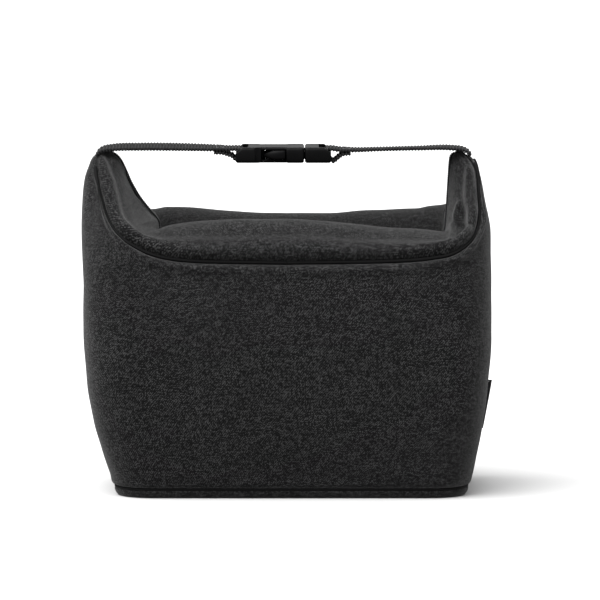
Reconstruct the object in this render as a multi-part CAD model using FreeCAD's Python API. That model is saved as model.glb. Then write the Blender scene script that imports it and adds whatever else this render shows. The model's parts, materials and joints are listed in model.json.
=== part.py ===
"""Insulated cooler bag whose two ears are drawn up by a webbing strap with a side-release buckle.

Frame: +X to the right, +Y to the back, +Z up.
The origin is the centre of the base, on the surface it stands on.
All sizes are in millimetres.
"""

import FreeCAD, Part
import math
import os
from FreeCAD import Vector

# ---- body: widths run along X and depths along Y ----
base_width = 228.0
base_depth = 114.0
base_corner = 26.0
belly_width = 271.0
belly_depth = 150.0
belly_corner = 36.0
belly_height = 115.0
shoulder_width = 268.0
shoulder_depth = 142.0
shoulder_corner = 34.0
shoulder_height = 159.0
wall_sections = 6

# ---- layers ----
fabric = 0.8
wall_foam = 5.0
base_foam_thickness = 4.0
board_thickness = 1.2
liner_film = 0.4
base_round = 4.5

# ---- top panels: each rises from the shoulder, crests, and drops to the zip ----
panel_foam = 3.0
crest_radius = 26.0
rise_angle = 48.0
drop_angle = 38.0
valley_radius = 6.0
landing = 3.0
zip_rise = 4.0
open_half_length = 72.0
joint_gap = 0.4

# ---- zip ----
tape_thickness = 0.6
tape_reveal = 2.1
chain_half_width = 3.4
spine_width = 1.4
tooth_pitch = 2.6
tooth_width = 1.1
chain_thickness = 2.4
slider_length = 10.0
slider_plate = 1.2
slider_clearance = 0.3
slider_flange = 0.9
post_length = 2.0
stop_length = 2.2
crown_gap = 1.9
crown_bar = 1.2
pull_length = 16.5
pull_width = 6.0
pull_thickness = 1.2
pull_pin = 1.0

# ---- ears ----
ear_tip_x = 118.0
ear_base_inset = 37.0
ear_corner = 3.0
ear_tip_radius = 7.0
ear_tip_length = 28.0
riser_width = 10.0
riser_thickness = 1.6
riser_end_gap = 6.0

# ---- strap ----
webbing_width = 25.0
webbing_thickness = 1.5
strap_height = 228.1
strap_gap = 0.3
wrap_angle = 60.0
tail_length = 8.0
loop_reach = 6.5
stitch_size = 0.5

# ---- buckle: the socket's mouth faces +X ----
mouth_x = 11.4
buckle_side = 4.5
buckle_thickness = 10.4
socket_length = 45.6
ring_length = 12.1
window_length = 16.5
plate_thickness = 1.9
cavity_side_wall = 2.8
waist_setback = 3.5
scoop_radius = 5.5
scoop_depth = 2.2
bar_length = 3.2
bar_height = 5.0
bar_clearance = 0.15
slot_length = 5.0
slot_side_gap = 0.7
plug_gap = 0.6
plug_length = 17.5
tongue_half_width = 2.2
tongue_height = 5.2
arm_splay = 1.2
arm_root_radius = 2.2
arm_width = 3.0
arm_height = 5.6
arm_root_depth = 3.6
root_clearance = 0.1
paddle_inset = 0.2
paddle_height = 6.0
paddle_proud = 0.6
latch_clearance = 0.5
edge_round = 1.4

# ---- side tags ----
tag_thickness = 1.2
tag_right = {"low": 39.0, "high": 73.0, "proud_low": 2.0, "proud_high": 3.4}
tag_left = {"low": 20.0, "high": 45.0, "proud_low": 1.6, "proud_high": 2.4}

# ---- worked out from the above ----
far = 400.0
base_seam = fabric + board_thickness + base_foam_thickness
panel_stack = fabric + panel_foam + liner_film
front_edge = -shoulder_depth / 2
zip_height = shoulder_height + zip_rise
tape_top = zip_height - fabric
chain_middle = tape_top - tape_thickness / 2
panel_edge = -(chain_half_width + tape_reveal)
slider_rest = open_half_length + joint_gap + slider_length / 2 + slider_clearance
plate_top = chain_middle + chain_thickness / 2 + slider_clearance + slider_plate
pull_z = plate_top + crown_gap / 2
ear_outer = shoulder_width / 2
ear_inner = ear_outer - ear_base_inset
moving_floor = shoulder_height + joint_gap
ear_tip_z = strap_height - strap_gap - ear_tip_radius
buckle_middle = strap_height - bar_clearance - bar_height / 2
buckle_half = webbing_width / 2 + buckle_side
socket_end = mouth_x - socket_length
ring_start = mouth_x - ring_length
window_start = ring_start - window_length
plug_start = mouth_x + plug_gap
plug_end = plug_start + plug_length
slot_half = webbing_width / 2 + slot_side_gap
cavity_half = buckle_half - cavity_side_wall
cavity_height = buckle_thickness - 2 * plate_thickness
arm_pivot_x = plug_start + arm_root_depth
arm_outer = cavity_half - latch_clearance
arm_offset = arm_outer - arm_width - arm_splay
paddle_reach = buckle_half - paddle_inset


# ------------------------------------------------------------------ small helpers
def box(low, high):
    """A box between two corners."""
    size = [high[k] - low[k] for k in range(3)]
    return Part.makeBox(size[0], size[1], size[2], Vector(*low))


def rounded_box(low, high, radius):
    """A box with every edge rounded."""
    block = box(low, high)
    return block.makeFillet(radius, block.Edges)


def slab(low, high):
    """Everything between two heights."""
    return box((-far, -far, low), (far, far, high))


def prism_y(points, half_width):
    """An outline of (x, z) points, extruded to both sides of the XZ plane."""
    wire = Part.makePolygon([Vector(x, -half_width, z) for x, z in points + points[:1]])
    return Part.Face(wire).extrude(Vector(0, 2 * half_width, 0))


def cylinder(centre, direction, radius, length):
    """A round bar, centred on a point."""
    axis = Vector(*direction)
    start = Vector(*centre) - axis * (length / 2)
    return Part.makeCylinder(radius, length, start, axis)


def mirror_x(shape):
    return shape.mirror(Vector(0, 0, 0), Vector(1, 0, 0))


def mirror_y(shape):
    return shape.mirror(Vector(0, 0, 0), Vector(0, 1, 0))


def solids(shape):
    """A compound of a shape's solids, or the one solid itself."""
    found = shape.removeSplitter().Solids
    return found[0] if len(found) == 1 else Part.makeCompound(found)


# ------------------------------------------------------------------ body
def half_sizes(z):
    """Half width, half depth and corner radius of the outside at a height."""
    if z <= belly_height:
        t = math.sin(math.pi / 2 * (z - base_seam) / (belly_height - base_seam))
        low, high = (base_width, base_depth, base_corner), (belly_width, belly_depth, belly_corner)
    else:
        t = ((z - belly_height) / (shoulder_height - belly_height)) ** 2
        low = (belly_width, belly_depth, belly_corner)
        high = (shoulder_width, shoulder_depth, shoulder_corner)
    width, depth, corner = (a + (b - a) * t for a, b in zip(low, high))
    return width / 2, depth / 2, corner


def outline(half_x, half_y, radius, z, centre_x=0.0):
    """A rounded rectangle at a height, from four lines and four arcs."""
    edges = []
    flat_x, flat_y = half_x - radius, half_y - radius
    diagonal = radius * math.sqrt(0.5)
    corners = [(1, 1), (-1, 1), (-1, -1), (1, -1)]

    def at(x, y):
        return Vector(centre_x + x, y, z)

    for n, (sx, sy) in enumerate(corners):
        on_side, on_end = at(sx * half_x, sy * flat_y), at(sx * flat_x, sy * half_y)
        middle = at(sx * (flat_x + diagonal), sy * (flat_y + diagonal))
        first, last = (on_side, on_end) if sx * sy > 0 else (on_end, on_side)
        edges.append(Part.Arc(first, middle, last).toShape())
        nx, ny = corners[(n + 1) % 4]
        if nx == sx:
            following = at(nx * half_x, ny * flat_y)
        else:
            following = at(nx * flat_x, ny * half_y)
        edges.append(Part.makeLine(last, following))
    return Part.Wire(edges)


def body_loft(inset):
    """The body from the base seam to the shoulder, as a solid, inset on every side."""
    step = (shoulder_height - base_seam) / (wall_sections - 1)
    wires = []
    for n in range(wall_sections):
        z = base_seam + n * step
        half_x, half_y, radius = half_sizes(z)
        wires.append(outline(half_x - inset, half_y - inset, radius - inset, z))
    return Part.makeLoft(wires, True, False)


def base_loft(inset):
    """The rounded underside from the surface it stands on up to the base seam."""
    half_x, half_y, radius = half_sizes(base_seam)
    wires = []
    for share in (0.0, 0.5, 1.0):
        tuck = base_round * (1 - math.sqrt(share * (2 - share))) + inset
        wires.append(outline(half_x - tuck, half_y - tuck, radius - tuck, share * base_seam))
    return Part.makeLoft(wires, True, False)


def base_pieces():
    """The outer base panel, its stiffening board and its foam."""
    inside = base_loft(fabric)
    return {
        "base_panel": base_loft(0).cut(inside.common(slab(fabric, far))),
        "base_board": inside.common(slab(fabric, fabric + board_thickness)),
        "base_foam": inside.common(slab(fabric + board_thickness, base_seam)),
    }


def side_wedge(side):
    """The stretch of wall between the two corner diagonals on one side."""
    start = (belly_width - belly_depth) / 2
    corner = [(start, 0.0), (start + far, -far), (start + far, far)]
    wire = Part.makePolygon([Vector(side * x, y, -far) for x, y in corner + corner[:1]])
    return Part.Face(wire).extrude(Vector(0, 0, 2 * far))


def wall_pieces():
    """Front and back panels, the four foam walls and the one-piece liner."""
    outer, middle = body_loft(0), body_loft(fabric)
    inner, cavity = body_loft(fabric + wall_foam), body_loft(fabric + wall_foam + liner_film)
    cloth, foam = outer.cut(middle), middle.cut(inner)
    front, back = box((-far, -far, 0), (far, 0, far)), box((-far, 0, 0), (far, far, far))
    left, right = side_wedge(-1), side_wedge(1)
    return {
        "front_panel": cloth.common(front),
        "back_panel": cloth.common(back),
        "front_foam": foam.common(front).cut(left).cut(right),
        "back_foam": foam.common(back).cut(left).cut(right),
        "left_foam": foam.common(left),
        "right_foam": foam.common(right),
        "liner": inner.cut(cavity.common(slab(base_seam + liner_film, far))),
    }


def side_tag(side, tag):
    """A folded woven tag, sewn into the side seam and standing proud of the wall."""
    at_low, at_high = (half_sizes(tag[k])[0] for k in ("low", "high"))
    root = at_low - 3 * tag["proud_high"]
    points = [
        (side * root, tag["low"]),
        (side * (at_low + tag["proud_low"]), tag["low"]),
        (side * (at_high + tag["proud_high"]), tag["high"]),
        (side * root, tag["high"]),
    ]
    return prism_y(points, tag_thickness / 2).cut(body_loft(0))


# ------------------------------------------------------------------ top panels
def arc_move(radius, heading, turn):
    """How far along y and z an arc goes from a heading, in degrees, through a signed turn."""
    a, b = math.radians(heading), math.radians(heading + turn)
    side = 1 if turn > 0 else -1
    return side * radius * (math.sin(b) - math.sin(a)), side * radius * (math.cos(a) - math.cos(b))


def panel_segments():
    """The front top panel's profile: rise, crest, drop, valley and the flat beside the zip."""
    up, down = math.radians(rise_angle), math.radians(drop_angle)
    crest = arc_move(crest_radius, rise_angle, -(rise_angle + drop_angle))
    valley = arc_move(valley_radius, -drop_angle, drop_angle)
    across = panel_edge - front_edge - crest[0] - valley[0] - landing
    above = zip_rise - crest[1] - valley[1]
    total = math.sin(up + down)
    rise = (across * math.sin(down) + above * math.cos(down)) / total
    drop = (across * math.sin(up) - above * math.cos(up)) / total
    return [
        ("line", rise, 0.0),
        ("arc", crest_radius, -(rise_angle + drop_angle)),
        ("line", drop, 0.0),
        ("arc", valley_radius, drop_angle),
        ("line", landing, 0.0),
    ]


def offset_edges(segments, depth, x):
    """The profile's edges, a depth below its outside, from the shoulder towards the zip."""
    y, z, heading = front_edge, shoulder_height, rise_angle
    edges = []

    def below(py, pz, angle):
        a = math.radians(angle)
        return Vector(x, py + depth * math.sin(a), pz - depth * math.cos(a))

    for kind, size, turn in segments:
        start = below(y, z, heading)
        if kind == "line":
            a = math.radians(heading)
            y, z = y + size * math.cos(a), z + size * math.sin(a)
            edges.append(Part.makeLine(start, below(y, z, heading)))
        else:
            half = arc_move(size, heading, turn / 2)
            middle = below(y + half[0], z + half[1], heading + turn / 2)
            move = arc_move(size, heading, turn)
            y, z, heading = y + move[0], z + move[1], heading + turn
            edges.append(Part.Arc(start, middle, below(y, z, heading)).toShape())
    return edges


def panel_layer(top, bottom, count, x_from, x_to):
    """One layer of the front top panel over the first segments of its profile."""
    segments = panel_segments()[:count]
    upper, lower = offset_edges(segments, top, x_from), offset_edges(segments, bottom, x_from)
    starts = upper[0].valueAt(upper[0].FirstParameter), lower[0].valueAt(lower[0].FirstParameter)
    ends = upper[-1].valueAt(upper[-1].LastParameter), lower[-1].valueAt(lower[-1].LastParameter)
    caps = [Part.makeLine(*starts), Part.makeLine(*ends)]
    wire = Part.Wire(Part.__sortEdges__(upper + lower + caps))
    return Part.Face(wire).extrude(Vector(x_to - x_from, 0, 0))


def panel_stack_pieces(x_from, x_to, floor):
    """Fabric, foam and liner of the front top panel over a stretch of X, above a floor."""
    above = slab(floor, far)
    return (
        panel_layer(0, fabric, 5, x_from, x_to).common(above),
        panel_layer(fabric, fabric + panel_foam, 3, x_from, x_to).common(above),
        panel_layer(fabric + panel_foam, panel_stack, 3, x_from, x_to).common(above),
    )


def zip_tape(x_from, x_to):
    """The front tape: under the panel's edge and out to the chain."""
    low = (x_from, panel_edge - landing, tape_top - tape_thickness)
    return box(low, (x_to, -chain_half_width, tape_top))


def zip_chain(x_from, x_to, phase):
    """Half of the chain: a spine along the front tape with teeth across the middle."""
    spine_edge = -chain_half_width + spine_width
    reach = -spine_edge - slider_clearance
    points = [(x_from, -chain_half_width), (x_to, -chain_half_width), (x_to, spine_edge)]
    first = math.ceil((x_from + tooth_width) / tooth_pitch)
    last = math.floor((x_to - tooth_width) / tooth_pitch - phase)
    for n in range(last, first - 1, -1):
        middle = (n + phase) * tooth_pitch
        right, left = middle + tooth_width / 2, middle - tooth_width / 2
        points += [(right, spine_edge), (right, reach), (left, reach), (left, spine_edge)]
    points.append((x_from, spine_edge))
    low = chain_middle - chain_thickness / 2
    wire = Part.makePolygon([Vector(x, y, low) for x, y in points + points[:1]])
    return Part.Face(wire).extrude(Vector(0, 0, chain_thickness))


def chain_pair(x_from, x_to):
    """Both halves of a stretch of closed chain."""
    return Part.makeCompound([zip_chain(x_from, x_to, 0.0), mirror_y(zip_chain(x_from, x_to, 0.5))])


def top_pieces():
    """The two opening top panels, their fixed ends and everything of the zip but the slider."""
    inner_end = ear_inner - joint_gap
    fixed_start = open_half_length + joint_gap
    pieces = {}
    moving = panel_stack_pieces(-open_half_length, open_half_length, moving_floor)
    for name, shape in zip(("panel", "foam", "liner"), moving):
        pieces["front_top_" + name] = shape
        pieces["back_top_" + name] = mirror_y(shape)
    ends = panel_stack_pieces(fixed_start, inner_end, shoulder_height)
    for name, shape in zip(("top_end_panels", "top_end_foam"), ends):
        pair = [shape, mirror_y(shape)]
        pieces[name] = Part.makeCompound(pair + [mirror_x(s) for s in pair])

    tape = zip_tape(-open_half_length, open_half_length)
    pieces["zip_tape_front"] = tape
    pieces["zip_tape_back"] = mirror_y(tape)
    pieces["zip_teeth_front"] = zip_chain(-open_half_length, open_half_length, 0.0)
    pieces["zip_teeth_back"] = mirror_y(zip_chain(-open_half_length, open_half_length, 0.5))

    end_tape = zip_tape(fixed_start, inner_end)
    end_tapes = [end_tape, mirror_y(end_tape)]
    pieces["zip_end_tapes"] = Part.makeCompound(end_tapes + [mirror_x(s) for s in end_tapes])
    top_stop_start = slider_rest + slider_length / 2 + slider_clearance
    post_start = slider_rest + slider_length / 2 - post_length
    chain_stop = post_start - slider_clearance
    pieces["zip_end_chain_right"] = chain_pair(fixed_start, chain_stop)
    left_stop_end = -(slider_rest + slider_length / 2 + slider_clearance)
    left_end = slider_length / 2 - post_length - slider_clearance - slider_rest
    pieces["zip_end_chain_left"] = chain_pair(left_stop_end, left_end)
    stop_low = chain_middle - chain_thickness / 2
    stop_high = chain_middle + chain_thickness / 2
    front_stop = box(
        (top_stop_start, -chain_half_width, stop_low),
        (top_stop_start + stop_length, -spine_width / 2, stop_high),
    )
    pieces["zip_top_stops"] = Part.makeCompound([front_stop, mirror_y(front_stop)])
    pieces["zip_bottom_stop"] = box(
        (left_stop_end - stop_length, -chain_half_width, stop_low),
        (left_stop_end, chain_half_width, stop_high),
    )
    return pieces


# ------------------------------------------------------------------ zip slider and pull
def slider_pieces():
    """The slider with its crown, and the pull that hangs from the crown."""
    half = chain_half_width + slider_flange + slider_clearance
    x0, x1 = slider_rest - slider_length / 2, slider_rest + slider_length / 2
    reach = chain_thickness / 2 + slider_clearance
    top, bottom = chain_middle + reach, chain_middle - reach
    plates = [
        box((x0, -half, top), (x1, half, top + slider_plate)),
        box((x0, -half, bottom - slider_plate), (x1, half, bottom)),
    ]
    body = plates[0].fuse(plates[1])
    body = body.fuse(box((x1 - post_length, -spine_width / 2, bottom), (x1, spine_width / 2, top)))
    flange_low = tape_top + slider_clearance
    for side in (-1, 1):
        y0, y1 = sorted((side * half, side * (half - slider_flange)))
        body = body.fuse(box((x0, y0, flange_low), (x1, y1, top)))
    leg = slider_length / 5
    crown_top = plate_top + crown_gap + crown_bar
    x0, x1 = slider_rest - 2 * leg, slider_rest + 2 * leg
    crown = box((x0, -leg / 2, plate_top), (x1, leg / 2, crown_top))
    crown = crown.cut(box((x0 + leg, -leg, plate_top), (x1 - leg, leg, crown_top - crown_bar)))
    return {"zip_slider": body.fuse(crown), "zip_pull": pull_tab(leg)}


def pull_tab(leg):
    """A flat pull whose pin runs under the crown, lying towards +X."""
    crown_side = leg / 2 + slider_clearance
    low, high = pull_z - pull_thickness / 2, pull_z + pull_thickness / 2
    outer = pull_width / 2
    fork_end = slider_rest + math.hypot(2 * leg, crown_bar + crown_gap / 2) + slider_clearance
    tab = box((slider_rest, -outer, low), (slider_rest + pull_length, outer, high))
    tab = tab.cut(box((slider_rest - leg, -crown_side, low - 1), (fork_end, crown_side, high + 1)))
    for side in (-1, 1):
        middle = (slider_rest, side * (crown_side + outer) / 2, pull_z)
        tab = tab.fuse(cylinder(middle, (0, 1, 0), pull_thickness / 2, outer - crown_side))
    tab = tab.fuse(cylinder((slider_rest, 0, pull_z), (0, 1, 0), pull_pin / 2, pull_width))
    eye = (slider_rest + pull_length - outer, 0, pull_z)
    return tab.cut(cylinder(eye, (0, 0, 1), pull_width / 6, 2 * pull_thickness))


# ------------------------------------------------------------------ ears
def ear_pieces():
    """Each ear tapers from the shoulder to a round tip that the strap turns over."""
    centre = (ear_outer + ear_inner) / 2
    base = outline(ear_base_inset / 2, shoulder_depth / 2, ear_corner, moving_floor, centre)
    tip = outline(ear_tip_radius, ear_tip_length / 2, ear_tip_radius / 2, ear_tip_z, ear_tip_x)
    footprint = Part.Face(outline(shoulder_width / 2, shoulder_depth / 2, shoulder_corner, 0))
    ear = Part.makeLoft([base, tip], True, True).common(footprint.extrude(Vector(0, 0, far)))
    dome_length = ear_tip_length - ear_tip_radius
    ear = ear.fuse(cylinder((ear_tip_x, 0, ear_tip_z), (0, 1, 0), ear_tip_radius, dome_length))
    riser = zip_riser()
    return {
        "ear_left": mirror_x(ear),
        "ear_right": ear,
        "zip_riser_left": mirror_x(riser),
        "zip_riser_right": riser,
    }


def zip_riser():
    """The end of the closed zip, running up the ear's inner face towards its tip."""
    foot, top = (ear_inner, moving_floor), (ear_tip_x - ear_tip_radius, ear_tip_z)
    length = math.dist(foot, top)
    along = ((top[0] - foot[0]) / length, (top[1] - foot[1]) / length)
    inward = (-along[1], along[0])

    def at(distance, depth):
        return (
            foot[0] + along[0] * distance + inward[0] * depth,
            foot[1] + along[1] * distance + inward[1] * depth,
        )

    last = length - riser_end_gap
    inner_side = [at(riser_end_gap, 0), at(last, 0)]
    outer_side = [at(last, riser_thickness), at(riser_end_gap, riser_thickness)]
    return prism_y(inner_side + outer_side, riser_width / 2)


# ------------------------------------------------------------------ strap
def strap(bar_from, bar_to, side):
    """Webbing from over the ear's tip to a buckle bar, round the bar and back to a sewn tail.

    It is drawn on the +X side and mirrored when side is -1. The buckle bar reaches from
    bar_from, its face away from the ear, to bar_to.
    """
    half = webbing_width / 2
    low, high = strap_height, strap_height + webbing_thickness
    tip_x = ear_tip_x
    run = box((bar_from, -half, low), (tip_x, half, high))
    inner = ear_tip_radius + strap_gap
    sleeve = cylinder((tip_x, 0, ear_tip_z), (0, 1, 0), inner + webbing_thickness, webbing_width)
    sleeve = sleeve.cut(cylinder((tip_x, 0, ear_tip_z), (0, 1, 0), inner, webbing_width))
    a = math.radians(90 - wrap_angle)
    sector = [(tip_x, ear_tip_z), (tip_x + far * math.cos(a), ear_tip_z + far * math.sin(a))]
    sector.append((tip_x, far))
    sleeve = sleeve.common(prism_y(sector, half))

    under_top = buckle_middle - bar_height / 2 - bar_clearance
    under_low = under_top - webbing_thickness
    gap_face = bar_from - bar_clearance
    wrap = box((gap_face - webbing_thickness, -half, under_low), (bar_from, half, high))
    wrap = wrap.cut(box((gap_face, -half, under_top), (far, half, low)))
    bottom = box((bar_from, -half, under_low), (bar_to, half, under_top))
    join = bar_to + loop_reach
    rise = webbing_thickness * 1.2
    slant = [(bar_to, under_low), (join, low - webbing_thickness), (join, low)]
    slant += [(join - rise, low), (bar_to, under_top)]
    lower = prism_y(slant, half)
    tail = box((join, -half, low - webbing_thickness), (join + tail_length, half, low))
    band = run.fuse([sleeve, wrap, bottom, lower, tail])
    return mirror_x(band) if side < 0 else band


def strap_stitches(bar_to, side):
    """Two bar tacks across the sewn tail, on the webbing's top face."""
    top = strap_height + webbing_thickness
    half = webbing_width / 2 - 2 * stitch_size
    bars = []
    for share in (0.25, 0.75):
        x = bar_to + loop_reach + share * tail_length
        bars.append(box((x - stitch_size, -half, top), (x + stitch_size, half, top + stitch_size)))
    tacks = Part.makeCompound(bars)
    return mirror_x(tacks) if side < 0 else tacks


# ------------------------------------------------------------------ buckle
def web_slot(x_from, x_to, bar_x_from, bar_x_to):
    """What is taken out of a buckle half for the webbing: the slot and the relief round its bar."""
    low, high = buckle_middle - buckle_thickness, buckle_middle + buckle_thickness
    slot = box((x_from, -slot_half, low), (x_to, slot_half, high))
    over = box((bar_x_from, -slot_half, buckle_middle + bar_height / 2), (bar_x_to, slot_half, high))
    under = box((bar_x_from, -slot_half, low), (bar_x_to, slot_half, buckle_middle - bar_height / 2))
    return slot.fuse([over, under])


def buckle_socket():
    """The female half: a ring at the mouth, two plates over the windows and a bar for the webbing."""
    half = buckle_thickness / 2
    low, high = buckle_middle - half, buckle_middle + half
    waist = buckle_half - waist_setback
    lap = 2 * edge_round
    ring = rounded_box((ring_start, -buckle_half, low), (mouth_x, buckle_half, high), edge_round)
    heel = rounded_box((socket_end, -buckle_half, low), (window_start, buckle_half, high), edge_round)
    nose = bar_length + edge_round
    wedge = [
        (socket_end - 1, high + 1),
        (socket_end + nose, high + 1),
        (socket_end + nose, high),
        (socket_end, buckle_middle + bar_height / 2 - edge_round),
        (socket_end - 1, buckle_middle + bar_height / 2 - edge_round),
    ]
    heel = heel.cut(prism_y(wedge, far))
    plates = rounded_box((window_start - lap, -waist, low), (ring_start + lap, waist, high), edge_round)
    body = ring.fuse([heel, plates])
    inside = cavity_height / 2
    cavity_low = (window_start, -cavity_half, buckle_middle - inside)
    body = body.cut(box(cavity_low, (mouth_x + 1, cavity_half, buckle_middle + inside)))
    for side in (-1, 1):
        centre = (window_start, side * (buckle_half - scoop_depth + scoop_radius), buckle_middle)
        body = body.cut(cylinder(centre, (0, 0, 1), scoop_radius, 2 * buckle_thickness))
    bar_end = socket_end + bar_length
    return body.cut(web_slot(bar_end, bar_end + slot_length, socket_end - 1, bar_end))


def buckle_plug():
    """The male half without its arms: the block with its webbing bar, and the guide tongue."""
    half = buckle_thickness / 2
    low, high = buckle_middle - half, buckle_middle + half
    body = rounded_box((plug_start, -buckle_half, low), (plug_end, buckle_half, high), edge_round)
    slope = [
        (plug_end - bar_length - slot_length, high + 1),
        (plug_end + 1, high + 1),
        (plug_end + 1, buckle_middle + bar_height / 2 - edge_round),
        (plug_end, buckle_middle + bar_height / 2 - edge_round),
        (plug_end - bar_length - edge_round, high),
        (plug_end - bar_length - slot_length, high),
    ]
    body = body.cut(prism_y(slope, far))
    bar_x = plug_end - bar_length
    body = body.cut(web_slot(bar_x - slot_length, bar_x, bar_x, plug_end + 1))
    pocket = arm_height / 2 + latch_clearance / 2
    swing = arm_root_radius + arm_width / 2 + latch_clearance
    for side in (-1, 1):
        centre = (arm_pivot_x, side * arm_offset, buckle_middle)
        body = body.cut(cylinder(centre, (0, 0, 1), arm_root_radius + root_clearance, 2 * pocket))
        y0, y1 = sorted((side * (arm_offset - swing), side * (arm_offset + swing)))
        opening_low = (plug_start - 1, y0, buckle_middle - pocket)
        body = body.cut(box(opening_low, (arm_pivot_x, y1, buckle_middle + pocket)))
    tongue = box(
        (window_start + tongue_height / 2, -tongue_half_width, buckle_middle - tongue_height / 2),
        (plug_start + edge_round, tongue_half_width, buckle_middle + tongue_height / 2),
    )
    nose = [e for e in tongue.Edges if abs(e.CenterOfMass.x - tongue.BoundBox.XMin) < 0.01]
    return body.fuse(tongue.makeFillet(edge_round, nose))


def latch_arm():
    """One springy arm at -Y: a round root, a slim arm through the ring and a paddle in the window."""
    pivot = arm_pivot_x
    root = cylinder((pivot, -arm_offset, buckle_middle), (0, 0, 1), arm_root_radius, arm_height)
    shoulder = ring_start - latch_clearance
    outer = -arm_outer
    inner = outer + arm_width
    neck_start = plug_start - latch_clearance
    arm = box(
        (shoulder - 1, outer, buckle_middle - arm_height / 2),
        (neck_start, inner, buckle_middle + arm_height / 2),
    )
    neck_points = [
        (neck_start, outer),
        (neck_start, inner),
        (pivot, -arm_offset + arm_root_radius / 2),
        (pivot, -arm_offset - arm_root_radius / 2),
    ]
    neck_low = buckle_middle - arm_height / 2
    neck_wire = Part.makePolygon([Vector(x, y, neck_low) for x, y in neck_points + neck_points[:1]])
    neck = Part.Face(neck_wire).extrude(Vector(0, 0, arm_height))
    paddle_tip = window_start + latch_clearance * 2
    length = shoulder - paddle_tip
    low = buckle_middle - paddle_height / 2
    bulge = Part.Arc(
        Vector(shoulder, -paddle_reach, low),
        Vector(shoulder - length * 0.5, -paddle_reach - paddle_proud, low),
        Vector(paddle_tip, inner - arm_width / 3, low),
    ).toShape()
    back = [(paddle_tip, inner - arm_width / 3), (paddle_tip + arm_width / 2, inner + arm_width / 3)]
    back += [(shoulder, inner), (shoulder, -paddle_reach)]
    rest = Part.makePolygon([Vector(x, y, low) for x, y in back])
    paddle = Part.Face(Part.Wire([bulge] + rest.Edges)).extrude(Vector(0, 0, paddle_height))
    leaf_half = paddle_height / 2
    leaf = Part.Arc(
        Vector(paddle_tip - 1, -far / 2, buckle_middle + leaf_half * 0.1),
        Vector(paddle_tip + length * 0.3, -far / 2, buckle_middle + leaf_half * 0.85),
        Vector(shoulder, -far / 2, buckle_middle + leaf_half),
    ).toShape()
    below = Part.makePolygon(
        [
            Vector(shoulder, -far / 2, buckle_middle + leaf_half),
            Vector(shoulder, -far / 2, buckle_middle - leaf_half),
            Vector(paddle_tip - 1, -far / 2, buckle_middle - leaf_half),
            Vector(paddle_tip - 1, -far / 2, buckle_middle + leaf_half * 0.1),
        ]
    )
    side_view = Part.Face(Part.Wire([leaf] + below.Edges)).extrude(Vector(0, far, 0))
    return root.fuse([neck, arm, paddle.common(side_view)])


def buckle_pieces():
    socket_bar = (socket_end, socket_end + bar_length)
    plug_bar = (plug_end - bar_length, plug_end)
    arm = latch_arm()
    return {
        "buckle_socket": buckle_socket(),
        "buckle_plug": buckle_plug(),
        "latch_arm_front": arm,
        "latch_arm_back": mirror_y(arm),
        "strap_left": strap(-socket_bar[1], -socket_bar[0], -1),
        "strap_right": strap(plug_bar[0], plug_bar[1], 1),
        "strap_left_tacks": strap_stitches(-socket_bar[0], -1),
        "strap_right_tacks": strap_stitches(plug_bar[1], 1),
    }


def main():
    pieces = {}
    for group in (base_pieces, wall_pieces, top_pieces, slider_pieces, ear_pieces, buckle_pieces):
        pieces.update(group())
    pieces["side_tag_right"] = side_tag(1, tag_right)
    pieces["side_tag_left"] = side_tag(-1, tag_left)
    os.makedirs("parts", exist_ok=True)
    for name, shape in sorted(pieces.items()):
        done = solids(shape)
        if not done.isValid() or not done.Solids:
            raise ValueError(name + " is not a sound solid")
        done.exportStep("parts/" + name + ".step")
        size = done.BoundBox
        lengths = f"{size.XLength:.1f} x {size.YLength:.1f} x {size.ZLength:.1f} mm"
        print(f"{name}: {len(done.Solids)} solid(s), {lengths}")


main()
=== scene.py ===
# cooler bag: soft woven shell, webbing handle with a side-release buckle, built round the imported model
# lengths in the dictionaries are millimetres, everything handed to Blender is metres
import json
import math
import bmesh
import bpy
import numpy as np
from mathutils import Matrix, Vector


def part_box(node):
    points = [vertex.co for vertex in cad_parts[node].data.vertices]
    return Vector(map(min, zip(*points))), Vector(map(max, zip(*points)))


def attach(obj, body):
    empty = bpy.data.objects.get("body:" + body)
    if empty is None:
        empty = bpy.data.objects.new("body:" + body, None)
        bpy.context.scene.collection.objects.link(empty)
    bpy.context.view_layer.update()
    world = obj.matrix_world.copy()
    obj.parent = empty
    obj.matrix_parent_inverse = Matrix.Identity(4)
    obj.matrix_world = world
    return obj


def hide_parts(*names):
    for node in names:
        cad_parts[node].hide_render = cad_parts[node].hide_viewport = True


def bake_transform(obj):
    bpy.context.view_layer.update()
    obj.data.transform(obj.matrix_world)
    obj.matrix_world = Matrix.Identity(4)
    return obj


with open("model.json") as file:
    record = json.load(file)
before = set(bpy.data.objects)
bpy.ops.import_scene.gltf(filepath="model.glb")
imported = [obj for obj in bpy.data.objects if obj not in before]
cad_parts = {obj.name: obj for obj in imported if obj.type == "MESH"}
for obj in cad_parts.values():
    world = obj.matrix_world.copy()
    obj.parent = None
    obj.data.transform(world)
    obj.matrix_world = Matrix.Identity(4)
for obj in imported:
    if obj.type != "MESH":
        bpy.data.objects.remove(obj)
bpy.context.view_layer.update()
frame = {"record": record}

mm = 0.001


# small helpers shared by every piece

def softStep(t):
    t = np.clip(t, 0, 1)
    return t * t * (3 - 2 * t)


def between(f, a, b, slopeA, slopeB):
    # cubic from a to b with its slopes at both ends
    start = (1 + 2 * f) * (1 - f) ** 2 * a + f * (1 - f) ** 2 * slopeA
    return start + f * f * (3 - 2 * f) * b + f * f * (f - 1) * slopeB


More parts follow.
